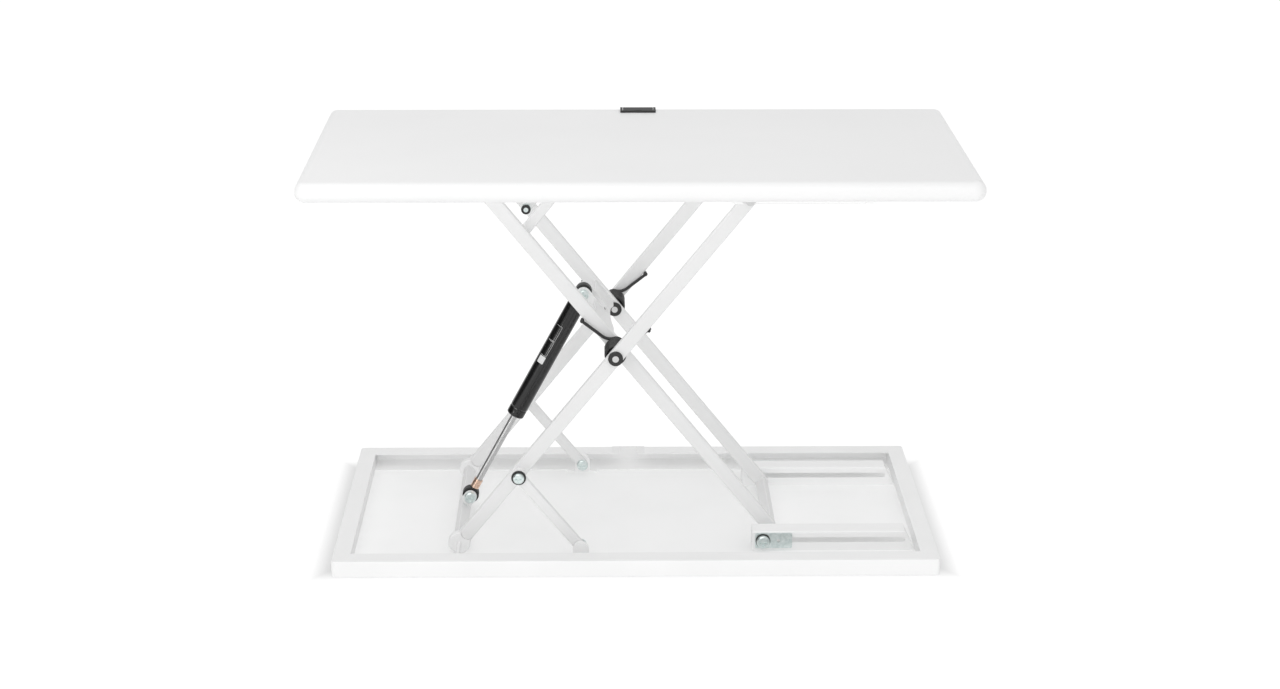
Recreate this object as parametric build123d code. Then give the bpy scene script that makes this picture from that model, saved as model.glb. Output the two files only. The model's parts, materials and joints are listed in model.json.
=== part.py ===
from build123d import *

# Standing desk converter with an X lift, in millimetres, +Z up, front (latch side) towards +Y.
# A desktop stands on two crossed pairs of tube arms over a low sheet-metal floor frame. The outer
# arms rise from left to right, the inner arms from right to left. A short lower link and a short
# upper link, each half as long as the stretch of arm that it guides, keep the crossing upright and
# the desktop level. Drawn fully raised.
import os
from math import atan2, cos, degrees, hypot, pi, radians, sin

os.makedirs("parts", exist_ok=True)

# ---- driving dimensions ----
DESK_LENGTH = 800.0
DESK_DEPTH = 400.0
DESK_THICKNESS = 24.0
DESK_TOP = 491.0
DESK_EDGE_ROUND = 11.0
DESK_CORNER_ROUND = 14.0
DESK_FRONT_ROUND = 2.0

BASE_LENGTH = 738.0
BASE_DEPTH = 396.0
BASE_CENTRE_X = -5.0
BASE_BOTTOM = 1.0
BASE_HEIGHT = 21.0
LONG_RAIL_WIDTH = 26.0     # open channels, along X
SIDE_RAIL_WIDTH = 21.5     # closed box rails, along Y
RAIL_SHEET = 1.5
RAIL_LIP = 42.0            # how far a long rail's floor lip reaches inwards
RAIL_LIP_SHEET = 1.2
PANEL_SHEET = 1.5
FOOT_PAD = (34.0, 16.0)
FOOT_PAD_OFFSETS = (-330.0, 0.0, 330.0)

LIFT_ANGLE = 51.1          # angle of every arm above the floor when raised
FOLDED_ANGLE = 3.0         # and when folded flat
PIVOT_HEIGHT = 18.0        # of the lower link pivots, the arms' feet and the slot pins
LINK_PIVOT_X = -72.4
LOWER_LINK = 119.5
LOWER_HALF = 307.6         # from an arm's foot to the crossing
UPPER_HALF = 253.1         # from the crossing to an arm's top
UPPER_LINK = 75.5

ARM_WIDTH = 17.0
CROSS_TUBE_HALF = (5.0, 7.0)   # along and across the arms
LINK_WIDTH = 12.5
TUBE_WALL = 1.5
TUBE_ROUND = 1.5
# distances from the middle plane Y = 0, inner face then outer face
UPPER_LINK_Y = (56.0, 64.0)
INNER_ARM_Y = (72.0, 82.0)
OUTER_ARM_Y = (121.0, 131.0)
LOWER_LINK_Y = (139.0, 148.0)

PIN_RADIUS = 4.0
SLOT_PIN_RADIUS = 3.0
FOOT_SPIGOT_RADIUS = 2.2
RUNNING = 0.05             # radial clearance of a pin in its hole
GAP = 0.3                  # between faces that move past each other
CAP_RADIUS = 9.0
CAP_THICK = 3.5
WASHER_THICK = 2.0
BOLT_HEAD_RADIUS = 7.4
SMALL_HEAD_RADIUS = 6.8
SLIDER_HEAD_RADIUS = 8.2
NUT_FLATS = 12.0
NUT_THICK = 5.0

SLOT_GUIDE_X = (140.0, 341.0)
SLOT_GUIDE_Y = (97.0, 125.0)
SLOT_GUIDE_TOP = 29.0
SLOT_GUIDE_SLOPE = 12.0    # how far the right end leans back
SLOT_X = (146.0, 329.5)
SLOT_HEIGHT = 6.6
GUIDE_SHEET = 1.6
SLIDER_SHEET = 2.5
SLIDER_X = (-20.4, 25.1)   # the plate's ends, from the slot pin
SLIDER_BOLT_X = -10.9
SLIDER_SPARE_HOLE_X = 8.3
SLIDER_PIN_DEPTH = 1.5     # how far the slot pin reaches into the plate
SLIDER_HALF_HEIGHT = 9.8

GAS_LOW_ALONG, GAS_LOW_ACROSS = 15.9, 2.8       # lower eye, from the outer arms' feet
GAS_HIGH_ALONG, GAS_HIGH_ACROSS = 60.0, 2.0     # upper eye, from the crossing
GAS_EYE_RADIUS = 10.5
GAS_EYE_HALF = 6.0
GAS_ROD_RADIUS = 4.3
GAS_TUBE_RADIUS = 11.3
GAS_TUBE_WALL = 1.5
GAS_TUBE_START = 122.0
GAS_TUBE_LENGTH = 172.0
GAS_ROD_START = GAS_EYE_RADIUS + 3.0
GAS_ROD_LENGTH = 150.0
GAS_LUG_Y = (-9.0, -13.0)
GAS_EAR_Y = (GAS_EYE_HALF + 5.7, GAS_EYE_HALF + 8.7)
GAS_LUG_RADIUS = 8.0
GAS_LABEL_ALONG = (201.0, 211.0)
GAS_LABEL_ACROSS = (2.0, 9.4)

COIL_RADIUS = 13.5
WIRE_RADIUS = 2.0
LEG_ALONG, LEG_ACROSS = 51.0, 10.6              # where a spring leg bears under an arm

PADDLE_CENTRE_X = 2.0
PADDLE_HOUSING = (46.0, 22.0)
PADDLE_WALL = 3.0
PADDLE_RISE = 2.6
PADDLE_SADDLE = 60.0       # radius of the dip along its top
PADDLE_PIVOT = (188.0, 482.0)
HOOK_WIDTH = 20.0
HOOK_BOTTOM = 421.0
HOOK_HALF_THICK = 1.5
HOOK_NOSE = (4.9, 5.0)     # how far it sticks out, and how tall it is
KEEPER_LENGTH = 44.0
KEEPER_THICK = 1.2

# ---- derived places, as (x, z) points in the lift's plane ----
DESK_UNDERSIDE = DESK_TOP - DESK_THICKNESS
BASE_TOP = BASE_BOTTOM + BASE_HEIGHT
PANEL_TOP = BASE_BOTTOM + RAIL_SHEET + PANEL_SHEET
TRACK_BOTTOM = DESK_UNDERSIDE - 2.4
RISING = radians(LIFT_ANGLE)                    # outer arms, foot to top
FALLING = pi - RISING                           # inner arms, slot pin to top


def offset_point(origin, direction, along, across=0.0):
    """The (x, z) point a distance along a direction and across it, to its left."""
    x = origin[0] + along * cos(direction) - across * sin(direction)
    z = origin[1] + along * sin(direction) + across * cos(direction)
    return (x, z)


LINK_BASE = (LINK_PIVOT_X, PIVOT_HEIGHT)
LINK_JOINT = offset_point(LINK_BASE, FALLING, LOWER_LINK)
FOOT = offset_point(LINK_JOINT, RISING, -LOWER_LINK)
CROSSING = offset_point(FOOT, RISING, LOWER_HALF)
SLOT_PIN = offset_point(CROSSING, FALLING, -LOWER_HALF)
OUTER_TOP = offset_point(CROSSING, RISING, UPPER_HALF)
INNER_TOP = offset_point(CROSSING, FALLING, UPPER_HALF)
UPPER_JOINT = offset_point(INNER_TOP, FALLING, -UPPER_LINK)
DESK_PIVOT = offset_point(UPPER_JOINT, RISING, UPPER_LINK)
GAS_LOW = offset_point(FOOT, RISING, GAS_LOW_ALONG, GAS_LOW_ACROSS)
GAS_HIGH = offset_point(CROSSING, FALLING, GAS_HIGH_ALONG, GAS_HIGH_ACROSS)
GAS_LENGTH = hypot(GAS_HIGH[0] - GAS_LOW[0], GAS_HIGH[1] - GAS_LOW[1])
GAS_ANGLE = atan2(GAS_HIGH[1] - GAS_LOW[1], GAS_HIGH[0] - GAS_LOW[0])
# the desktop shifts a little sideways as it folds, so the latch keeper is off the paddle's centre
FOLDING_SHIFT = LOWER_HALF - UPPER_HALF + 2 * (UPPER_LINK - LOWER_LINK)
FOLDING_SHIFT *= cos(radians(FOLDED_ANGLE)) - cos(RISING)
KEEPER_X = PADDLE_CENTRE_X + FOLDING_SHIFT
KEEPER_Y = (BASE_DEPTH / 2 - LONG_RAIL_WIDTH, BASE_DEPTH / 2 - 2)
KEEPER_NOTCH_END = PADDLE_PIVOT[0] + HOOK_HALF_THICK + HOOK_NOSE[0] + 0.8
LINK_BOLT_END = LOWER_LINK_Y[1] + 5.5
UPPER_COLLAR_Y = (UPPER_LINK_Y[0] - GAP - NUT_THICK, UPPER_LINK_Y[0] - GAP - NUT_THICK - 3)

REAR, FRONT = -1, 1
SIDES = (REAR, FRONT)
SIDE_NAMES = {REAR: "rear", FRONT: "front"}
nodes = {}


# ---- helpers ----
def prism(outline, y_from, y_to):
    """An outline drawn in X and Z, extruded between two Y planes."""
    low, high = sorted((y_from, y_to))
    return extrude(Plane.XZ.offset(-high) * outline, amount=high - low)


def disc(centre, radius, y_from, y_to):
    return prism(Pos(*centre) * Circle(radius), y_from, y_to)


def ring(centre, radius, hole, y_from, y_to):
    return prism(Pos(*centre) * (Circle(radius) - Circle(hole)), y_from, y_to)


def block(x_span, y_span, z_span):
    """A box between two X, two Y and two Z planes, each pair in either order."""
    x, y, z = (sorted(span) for span in (x_span, y_span, z_span))
    size = (x[1] - x[0], y[1] - y[0], z[1] - z[0])
    low = (Align.MIN, Align.MIN, Align.MIN)
    return Pos(x[0], y[0], z[0]) * Box(*size, align=low)


def stadium(start, end, width):
    """A round-ended bar outline about the line between two (x, z) points."""
    length = hypot(end[0] - start[0], end[1] - start[1])
    angle = degrees(atan2(end[1] - start[1], end[0] - start[0]))
    middle = ((start[0] + end[0]) / 2, (start[1] + end[1]) / 2)
    return Pos(*middle) * SlotCenterToCenter(length, width, rotation=angle)


def slanted_box(origin, direction, along, across, y_span):
    """A box set square to a direction in the lift's plane."""
    centre = offset_point(origin, direction, sum(along) / 2, sum(across) / 2)
    outline = Rectangle(along[1] - along[0], across[1] - across[0], rotation=degrees(direction))
    return prism(Pos(*centre) * outline, *y_span)


def tube_arm(start, end, width, y_span, holes):
    """A rectangular tube with closed round ends, soft long edges and cross holes."""
    arm = prism(stadium(start, end, width), *y_span)
    arm = fillet(arm.faces().filter_by(Axis.Y).edges(), TUBE_ROUND)
    length = hypot(end[0] - start[0], end[1] - start[1])
    direction = atan2(end[1] - start[1], end[0] - start[0])
    inset = width / 2 - TUBE_WALL
    low, high = sorted(y_span)
    cavity = (low + TUBE_WALL, high - TUBE_WALL)
    end_wall = PIN_RADIUS
    arm -= slanted_box(start, direction, (end_wall, length - end_wall), (-inset, inset), cavity)
    for centre, radius in holes:
        arm -= disc(centre, radius, low - 1, high + 1)
    return arm


def cross_tube(centre, direction, half_span):
    """A rectangular tube across the lift, joining two arms at one (x, z) point."""
    half_along, half_across = CROSS_TUBE_HALF
    span = (-half_span, half_span)
    along, across = (-half_along, half_along), (-half_across, half_across)
    outer = slanted_box(centre, direction, along, across, span)
    outer = fillet(outer.edges().filter_by(Axis.Y), TUBE_ROUND)
    along = (TUBE_WALL - half_along, half_along - TUBE_WALL)
    across = (TUBE_WALL - half_across, half_across - TUBE_WALL)
    return outer - slanted_box(centre, direction, along, across, span)


def pan_head(centre, radius, height, y_face, outward):
    """A domed screw head with a cross recess, standing on a face towards +Y or -Y."""
    y_top = y_face + outward * height
    head = disc(centre, radius, y_face, y_top)
    rim = head.faces().sort_by(Axis.Y)[-1 if outward > 0 else 0].edges()
    head = fillet(rim, height * 0.5)
    arm, blade, depth = radius * 0.55, radius * 0.22, height * 0.5
    for size in ((2 * arm, blade), (blade, 2 * arm)):
        head -= prism(Pos(*centre) * Rectangle(*size), y_top, y_top - outward * depth)
    return head


def hex_nut(centre, y_from, y_to):
    return prism(Pos(*centre) * RegularPolygon(NUT_FLATS / 2, 6, major_radius=False), y_from, y_to)


def pair(make):
    """One node of two like pieces, rear and front."""
    return Compound(children=[make(REAR), make(FRONT)])


def sided(name, make):
    """Two nodes of one piece each, name_rear and name_front."""
    for side in SIDES:
        nodes[f"{name}_{SIDE_NAMES[side]}"] = make(side)


# ---- floor frame ----
def base_frame():
    """A ring of rails: open channels along X, closed boxes along Y, rounded outside."""
    low = (Align.CENTER, Align.CENTER, Align.MIN)
    ring_body = Box(BASE_LENGTH, BASE_DEPTH, BASE_HEIGHT, align=low)
    ring_body = fillet(ring_body.edges().filter_by(Axis.Z), 5.0)
    ring_body = fillet(ring_body.faces().filter_by(Axis.Z).edges(), 1.4)
    inner = (BASE_LENGTH - 2 * RAIL_SHEET, BASE_DEPTH - 2 * RAIL_SHEET)
    height = BASE_HEIGHT - 2 * RAIL_SHEET
    ring_body -= Pos(0, 0, RAIL_SHEET) * Box(*inner, height, align=low)
    opening = (BASE_LENGTH - 2 * SIDE_RAIL_WIDTH, BASE_DEPTH - 2 * LONG_RAIL_WIDTH)
    ring_body -= Box(*opening, BASE_HEIGHT, align=low)
    ring_body = Pos(BASE_CENTRE_X, 0, BASE_BOTTOM) * ring_body
    half_x, half_y = opening[0] / 2, inner[1] / 2
    inside = (BASE_CENTRE_X - half_x, BASE_CENTRE_X + half_x)
    for side, x_inner in zip(SIDES, inside):
        web = (x_inner, x_inner + side * RAIL_SHEET)
        ring_body += block(web, (-half_y, half_y), (PANEL_TOP, BASE_TOP - RAIL_SHEET))
    for side in SIDES:
        y_span = (side * (BASE_DEPTH / 2 - RAIL_LIP), side * half_y)
        ring_body += block(inside, y_span, (PANEL_TOP, PANEL_TOP + RAIL_LIP_SHEET))
    return ring_body


def base_rails():
    """The four rails, mitred at the corners."""
    ring_body = base_frame()
    half_x, half_y = BASE_LENGTH / 2 + 5, BASE_DEPTH / 2 + 5
    ridge = half_x - half_y
    wedges = {
        "rear": [(-half_x, -half_y), (half_x, -half_y), (ridge, 0), (-ridge, 0)],
        "front": [(-half_x, half_y), (half_x, half_y), (ridge, 0), (-ridge, 0)],
        "left": [(-half_x, -half_y), (-half_x, half_y), (-ridge, 0)],
        "right": [(half_x, -half_y), (half_x, half_y), (ridge, 0)],
    }
    for name, corners in wedges.items():
        outline = make_face(Polyline(*corners, close=True))
        wedge = Pos(BASE_CENTRE_X, 0, 0) * extrude(outline, amount=BASE_TOP + 1, dir=(0, 0, 1))
        nodes[f"base_rail_{name}"] = ring_body & wedge
    half_notch = HOOK_WIDTH / 2 + 2
    notch_x = (KEEPER_X - half_notch, KEEPER_X + half_notch)
    notch = block(notch_x, (KEEPER_Y[0] - 1, KEEPER_NOTCH_END), (BASE_TOP - 5, BASE_TOP + 5))
    nodes["base_rail_front"] -= notch
    keeper_x = (KEEPER_X - KEEPER_LENGTH / 2, KEEPER_X + KEEPER_LENGTH / 2)
    nodes["latch_keeper"] = block(keeper_x, KEEPER_Y, (BASE_TOP, BASE_TOP + KEEPER_THICK)) - notch


def base_panel():
    inset = RAIL_SHEET + GAP
    half_x, half_y = BASE_LENGTH / 2 - inset, BASE_DEPTH / 2 - inset
    x_span = (BASE_CENTRE_X - half_x, BASE_CENTRE_X + half_x)
    return block(x_span, (-half_y, half_y), (PANEL_TOP - PANEL_SHEET, PANEL_TOP))


def base_feet():
    """Six flat rubber pads under the long rails."""
    length, width = FOOT_PAD
    pads = []
    for side in SIDES:
        for x_offset in FOOT_PAD_OFFSETS:
            x, y = BASE_CENTRE_X + x_offset, side * (BASE_DEPTH - LONG_RAIL_WIDTH) / 2
            outline = SlotOverall(length, width)
            pads.append(Pos(x, y, 0) * extrude(outline, amount=BASE_BOTTOM))
    return Compound(children=pads)


def slot_guide(side):
    """An upturned U channel with a slot along both walls and a slanted right end."""
    y_in, y_out = SLOT_GUIDE_Y
    left, right = SLOT_GUIDE_X
    top_right = (right - SLOT_GUIDE_SLOPE, SLOT_GUIDE_TOP)
    corners = [(left, PANEL_TOP), (left, SLOT_GUIDE_TOP), top_right, (right, PANEL_TOP)]
    profile = make_face(Polyline(*corners, close=True))
    guide = prism(profile, side * y_in, side * y_out)
    top_edges = guide.faces().sort_by(Axis.Z)[-1].edges().filter_by(Axis.X)
    guide = fillet(top_edges, 2.0)
    inner = ((left - 1, right + 1), (side * (y_in + GUIDE_SHEET), side * (y_out - GUIDE_SHEET)))
    guide -= block(*inner, (0, SLOT_GUIDE_TOP - GUIDE_SHEET))
    middle = (sum(SLOT_X) / 2, PIVOT_HEIGHT)
    slot = Pos(*middle) * SlotOverall(SLOT_X[1] - SLOT_X[0], SLOT_HEIGHT)
    return guide - prism(slot, side * (y_in - 1), side * (y_out + 1))


def link_bracket(side):
    """An upright lug on a foot plate, outside the lower link, threaded for its pivot bolt."""
    y_in, y_out = LOWER_LINK_Y[1] + 1, LOWER_LINK_Y[1] + 7
    half_width = 10.0
    upright = Rectangle(2 * half_width, PIVOT_HEIGHT - PANEL_TOP)
    outline = Pos(*LINK_BASE) * Circle(half_width)
    outline += Pos(LINK_PIVOT_X, (PIVOT_HEIGHT + PANEL_TOP) / 2) * upright
    lug = prism(outline, side * y_in, side * y_out)
    plate_x = (LINK_PIVOT_X - 20, LINK_PIVOT_X + 20)
    lug += block(plate_x, (side * y_in, side * y_out), (PANEL_TOP, PANEL_TOP + 2))
    return lug - disc(LINK_BASE, PIN_RADIUS, side * (y_in - 1), side * LINK_BOLT_END)


def link_pivot_bolt(side):
    """Head on the link's inner face, shank through the link into the lug."""
    y_head = LOWER_LINK_Y[0] - GAP
    bolt = disc(LINK_BASE, PIN_RADIUS, side * y_head, side * LINK_BOLT_END)
    return bolt + pan_head(LINK_BASE, BOLT_HEAD_RADIUS, 4.5, side * y_head, -side)


# ---- lower links, outer arms, inner arms, upper links ----
def running_hole(centre, radius=PIN_RADIUS):
    return (centre, radius + RUNNING)


def lower_link(side):
    y_span = (side * LOWER_LINK_Y[0], side * LOWER_LINK_Y[1])
    holes = [running_hole(LINK_BASE), running_hole(LINK_JOINT)]
    return tube_arm(LINK_BASE, LINK_JOINT, LINK_WIDTH, y_span, holes)


def outer_arm(side):
    y_span = (side * OUTER_ARM_Y[0], side * OUTER_ARM_Y[1])
    foot_end = offset_point(FOOT, RISING, ARM_WIDTH)
    holes = [(LINK_JOINT, PIN_RADIUS), (CROSSING, PIN_RADIUS), (OUTER_TOP, SLOT_PIN_RADIUS)]
    return tube_arm(foot_end, OUTER_TOP, ARM_WIDTH, y_span, holes)


def foot_glide(side):
    """A nylon foot: a shoe that rolls on the floor panel and caps the tube, and a spigot in the rail."""
    y_span = (side * OUTER_ARM_Y[0], side * OUTER_ARM_Y[1])
    half_width = ARM_WIDTH / 2
    shoe = disc(FOOT, PIVOT_HEIGHT - PANEL_TOP - GAP, *y_span)
    shoe += slanted_box(FOOT, RISING, (0, ARM_WIDTH), (-half_width, half_width), y_span)
    shoe = fillet(shoe.faces().filter_by(Axis.Y).edges(), TUBE_ROUND)
    shoe += disc(FOOT, FOOT_SPIGOT_RADIUS, side * OUTER_ARM_Y[1], side * (BASE_DEPTH / 2 - 12))
    tube_end = offset_point(FOOT, RISING, ARM_WIDTH)
    return shoe - disc(tube_end, half_width + 0.02, y_span[0] - side, y_span[1] + side)


def gas_lug():
    """The plate on the lower cross tube that holds the gas spring's lower bolt."""
    root, tip = CROSS_TUBE_HALF[0], GAS_LOW_ALONG
    middle = offset_point(FOOT, RISING, (root + tip) / 2, GAS_LOW_ACROSS)
    tab = Pos(*GAS_LOW) * Circle(GAS_LUG_RADIUS)
    tab += Pos(*middle) * Rectangle(tip - root, 2 * GAS_LUG_RADIUS, rotation=LIFT_ANGLE)
    return prism(tab, *GAS_LUG_Y) - disc(GAS_LOW, PIN_RADIUS, GAS_LUG_Y[0] + 1, GAS_LUG_Y[1] - 1)


def gas_lower_bolt():
    """Head on the lug, shank through the eye to a nut behind it."""
    y_nut = GAS_EYE_HALF + GAP
    bolt = disc(GAS_LOW, PIN_RADIUS, GAS_LUG_Y[1], y_nut)
    bolt += pan_head(GAS_LOW, BOLT_HEAD_RADIUS, 4.8, GAS_LUG_Y[1], REAR)
    return bolt + hex_nut(GAS_LOW, y_nut, y_nut + NUT_THICK)


def link_joint_bolt(side):
    """Head and shank from outside the lower link to a nut inside the outer arm."""
    y_head = LOWER_LINK_Y[1] + GAP + WASHER_THICK
    bolt = disc(LINK_JOINT, PIN_RADIUS, side * y_head, side * OUTER_ARM_Y[0])
    bolt += pan_head(LINK_JOINT, SMALL_HEAD_RADIUS, 4.5, side * y_head, side)
    return bolt + hex_nut(LINK_JOINT, side * OUTER_ARM_Y[0], side * (OUTER_ARM_Y[0] - NUT_THICK))


def link_joint_washer(side):
    y_in = LOWER_LINK_Y[1] + GAP
    return ring(LINK_JOINT, CAP_RADIUS, PIN_RADIUS, side * y_in, side * (y_in + WASHER_THICK))


def link_joint_spacer(side):
    return ring(LINK_JOINT, 7.0, PIN_RADIUS, side * OUTER_ARM_Y[1], side * (LOWER_LINK_Y[0] - GAP))


def top_guide_pin(side):
    """The pin at an outer arm's top that slides in the desktop's slotted angle."""
    y_end = OUTER_ARM_Y[1] + 7
    pin = disc(OUTER_TOP, SLOT_PIN_RADIUS, side * OUTER_ARM_Y[0], side * y_end)
    return pin + disc(OUTER_TOP, 5.5, side * y_end, side * (y_end + 2))


def crossing_pin(side):
    y_span = (side * (INNER_ARM_Y[0] - CAP_THICK), side * (OUTER_ARM_Y[1] + CAP_THICK))
    return disc(CROSSING, PIN_RADIUS, *y_span)


def crossing_caps(side):
    """Black rings at both ends of a crossing pin."""
    outer_y = (side * OUTER_ARM_Y[1], side * (OUTER_ARM_Y[1] + CAP_THICK))
    inner_y = (side * (INNER_ARM_Y[0] - GAP), side * (INNER_ARM_Y[0] - CAP_THICK))
    caps = []
    for y_base, y_top in (outer_y, inner_y):
        cap = disc(CROSSING, CAP_RADIUS, y_base, y_top)
        rim = cap.faces().sort_by(Axis.Y)[-1 if y_top > y_base else 0].edges()
        cap = fillet(rim, 1.2)
        caps.append(cap - disc(CROSSING, PIN_RADIUS, y_base - side * 9, y_base + side * 9))
    return caps


def crossing_sleeve(side):
    return ring(CROSSING, CAP_RADIUS, PIN_RADIUS, side * (INNER_ARM_Y[1] + GAP), side * OUTER_ARM_Y[0])


def wire_leg(direction, across, y_start, y_arm):
    """A straight spring leg with a bent end that bears under an arm."""
    start = offset_point(CROSSING, direction, COIL_RADIUS - 2.5, across * 0.2)
    end = offset_point(CROSSING, direction, LEG_ALONG, across)
    path = Line((start[0], y_start, start[1]), (end[0], y_start, end[1]))
    heading = Plane(origin=path @ 0, z_dir=path % 0)
    leg = sweep(heading * Circle(WIRE_RADIUS), path=path)
    leg += Pos(end[0], y_start, end[1]) * Sphere(WIRE_RADIUS)
    leg += disc(end, WIRE_RADIUS, y_start, y_arm)
    return leg


def outer_spring(side):
    """The close-wound coil about the crossing sleeve, with the leg under the outer arm."""
    turns, wire = 7, 2 * WIRE_RADIUS
    y_out = OUTER_ARM_Y[0] - 1.2
    middle = COIL_RADIUS - WIRE_RADIUS
    section = None
    for turn in range(turns):
        bead = Pos(middle, WIRE_RADIUS + turn * wire * 0.98) * Circle(WIRE_RADIUS)
        section = bead if section is None else section + bead
    coil = revolve(section, Axis.Y)
    height = turns * wire * 0.98
    y_low = y_out - height if side == FRONT else -y_out
    coil = Pos(CROSSING[0], y_low, CROSSING[1]) * coil
    y_leg = side * (y_out - WIRE_RADIUS)
    y_arm = side * (sum(OUTER_ARM_Y) / 2)
    return coil + wire_leg(RISING, -LEG_ACROSS, y_leg, y_arm)


def inner_spring_turn(side):
    """The spring's inner end turn, which follows the inner arm, with its leg."""
    y_centre = INNER_ARM_Y[1] + GAP + WIRE_RADIUS + 0.7
    turn = revolve(Pos(COIL_RADIUS - WIRE_RADIUS, 0) * Circle(WIRE_RADIUS), Axis.Y)
    turn = Pos(CROSSING[0], side * y_centre, CROSSING[1]) * turn
    return turn + wire_leg(FALLING, LEG_ACROSS, side * y_centre, side * (sum(INNER_ARM_Y) / 2))


def inner_arm(side):
    y_span = (side * INNER_ARM_Y[0], side * INNER_ARM_Y[1])
    top_end = offset_point(INNER_TOP, FALLING, -ARM_WIDTH)
    holes = [(SLOT_PIN, SLOT_PIN_RADIUS), running_hole(CROSSING)]
    return tube_arm(SLOT_PIN, top_end, ARM_WIDTH, y_span, holes)


def top_glide(side):
    """A nylon shoe on an inner arm's top that slides under the desktop."""
    y_span = (side * INNER_ARM_Y[0], side * INNER_ARM_Y[1])
    half_width = ARM_WIDTH / 2
    shoe = disc(INNER_TOP, TRACK_BOTTOM - GAP - INNER_TOP[1], *y_span)
    shoe += slanted_box(INNER_TOP, FALLING, (-ARM_WIDTH, 0), (-half_width, half_width), y_span)
    shoe = fillet(shoe.faces().filter_by(Axis.Y).edges(), TUBE_ROUND)
    tube_end = offset_point(INNER_TOP, FALLING, -ARM_WIDTH)
    return shoe - disc(tube_end, half_width + 0.02, y_span[0] - side, y_span[1] + side)


def mid_bracket():
    """The bent plate between the inner arms, with two ears about the gas spring's upper eye."""
    half = INNER_ARM_Y[0]
    plate = slanted_box(CROSSING, FALLING, (10.0, 46.0), (-6.0, -3.0), (-half, half))
    bite_radius, bite_reach, bite_depth = 150.0, 17.0, 40.0
    bite = offset_point(CROSSING, FALLING, bite_reach - bite_radius)
    turned = Plane(origin=(bite[0], 0, bite[1]), x_dir=(cos(FALLING), 0, sin(FALLING)),
                   z_dir=(-sin(FALLING), 0, cos(FALLING)))
    plate -= turned * Cylinder(bite_radius, bite_depth)
    ear_in, ear_out = GAS_EAR_Y
    plate -= slanted_box(CROSSING, FALLING, (23.0, 50.0), (-9, 9), (-ear_in, ear_in))
    ear_root = offset_point(CROSSING, FALLING, 36.0, 2.0)
    for side in SIDES:
        ear = prism(stadium(ear_root, GAS_HIGH, 18.0), side * ear_in, side * ear_out)
        plate += ear - disc(GAS_HIGH, PIN_RADIUS, side * (ear_in - 1), side * (ear_out + 1))
    return plate


def gas_upper_bolt():
    """Head and nut on the ears; the shank between them belongs to the gas spring's eye."""
    ear_in, ear_out = GAS_EAR_Y
    head = disc(GAS_HIGH, PIN_RADIUS, -ear_in, -ear_out)
    head += pan_head(GAS_HIGH, SMALL_HEAD_RADIUS, 4.5, -ear_out, REAR)
    nut = disc(GAS_HIGH, PIN_RADIUS, ear_in, ear_out)
    nut += hex_nut(GAS_HIGH, ear_out, ear_out + NUT_THICK)
    return Compound(children=[head, nut])


def slot_pin(side):
    """The pin at an inner arm's foot that slides in the slotted guide."""
    y_end = SLOT_GUIDE_Y[1] + GAP + SLIDER_PIN_DEPTH
    return disc(SLOT_PIN, SLOT_PIN_RADIUS, side * INNER_ARM_Y[0], side * y_end)


def upper_link_stud(side):
    """A stud welded to an inner arm, on which the upper link turns."""
    return disc(UPPER_JOINT, SLOT_PIN_RADIUS, side * INNER_ARM_Y[0], side * (UPPER_COLLAR_Y[1] - 1))


def upper_link_nut(side):
    y_base = side * (UPPER_LINK_Y[0] - GAP)
    nut = hex_nut(UPPER_JOINT, y_base, side * UPPER_COLLAR_Y[0])
    return nut - disc(UPPER_JOINT, SLOT_PIN_RADIUS, y_base + side, side * (UPPER_COLLAR_Y[0] - 1))


def upper_link_collar(side):
    """The lock nut's plastic collar, on the stud's inner end."""
    y_span = [side * y for y in UPPER_COLLAR_Y]
    return ring(UPPER_JOINT, NUT_FLATS / 2, SLOT_PIN_RADIUS, *y_span)


def upper_link(side):
    y_span = (side * UPPER_LINK_Y[0], side * UPPER_LINK_Y[1])
    holes = [running_hole(UPPER_JOINT, SLOT_PIN_RADIUS), running_hole(DESK_PIVOT)]
    return tube_arm(UPPER_JOINT, DESK_PIVOT, LINK_WIDTH, y_span, holes)


# ---- sliders in the floor guides ----
def slider_plate(side):
    """The plate outside a slotted guide: a blind hole for the slot pin, a bolt hole and a spare hole."""
    y_in = SLOT_GUIDE_Y[1] + GAP
    x, z = SLOT_PIN
    plate = block((x + SLIDER_X[0], x + SLIDER_X[1]), (side * y_in, side * (y_in + SLIDER_SHEET)),
                  (z - SLIDER_HALF_HEIGHT, z + SLIDER_HALF_HEIGHT))
    plate = fillet(plate.edges().filter_by(Axis.Y), 2.0)
    pin_end = side * (y_in + SLIDER_PIN_DEPTH + GAP)
    plate -= disc(SLOT_PIN, SLOT_PIN_RADIUS + RUNNING, side * (y_in - 1), pin_end)
    plate -= disc((x + SLIDER_SPARE_HOLE_X, z), 2.2, side * (y_in - 1), side * (y_in + 4))
    return plate - disc(slider_bolt_place(), SLOT_PIN_RADIUS, side * (y_in - 1), side * (y_in + 4))


def slider_bolt_place():
    return (SLOT_PIN[0] + SLIDER_BOLT_X, SLOT_PIN[1])


def slider_washer(side):
    y_in = SLOT_GUIDE_Y[1] + GAP + SLIDER_SHEET
    return ring(slider_bolt_place(), CAP_RADIUS, SLOT_PIN_RADIUS, side * y_in, side * (y_in + WASHER_THICK))


def slider_bolt(side):
    """Head on the washer, shank through the guide's slot to a nut inside the guide."""
    y_head = SLOT_GUIDE_Y[1] + GAP + SLIDER_SHEET + WASHER_THICK
    y_nut = SLOT_GUIDE_Y[1] - GUIDE_SHEET - 6.5
    bolt = disc(slider_bolt_place(), SLOT_PIN_RADIUS, side * y_head, side * (y_nut - NUT_THICK))
    bolt += pan_head(slider_bolt_place(), SLIDER_HEAD_RADIUS, 5.0, side * y_head, side)
    return bolt + hex_nut(slider_bolt_place(), side * (y_nut - NUT_THICK), side * y_nut)


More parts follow.
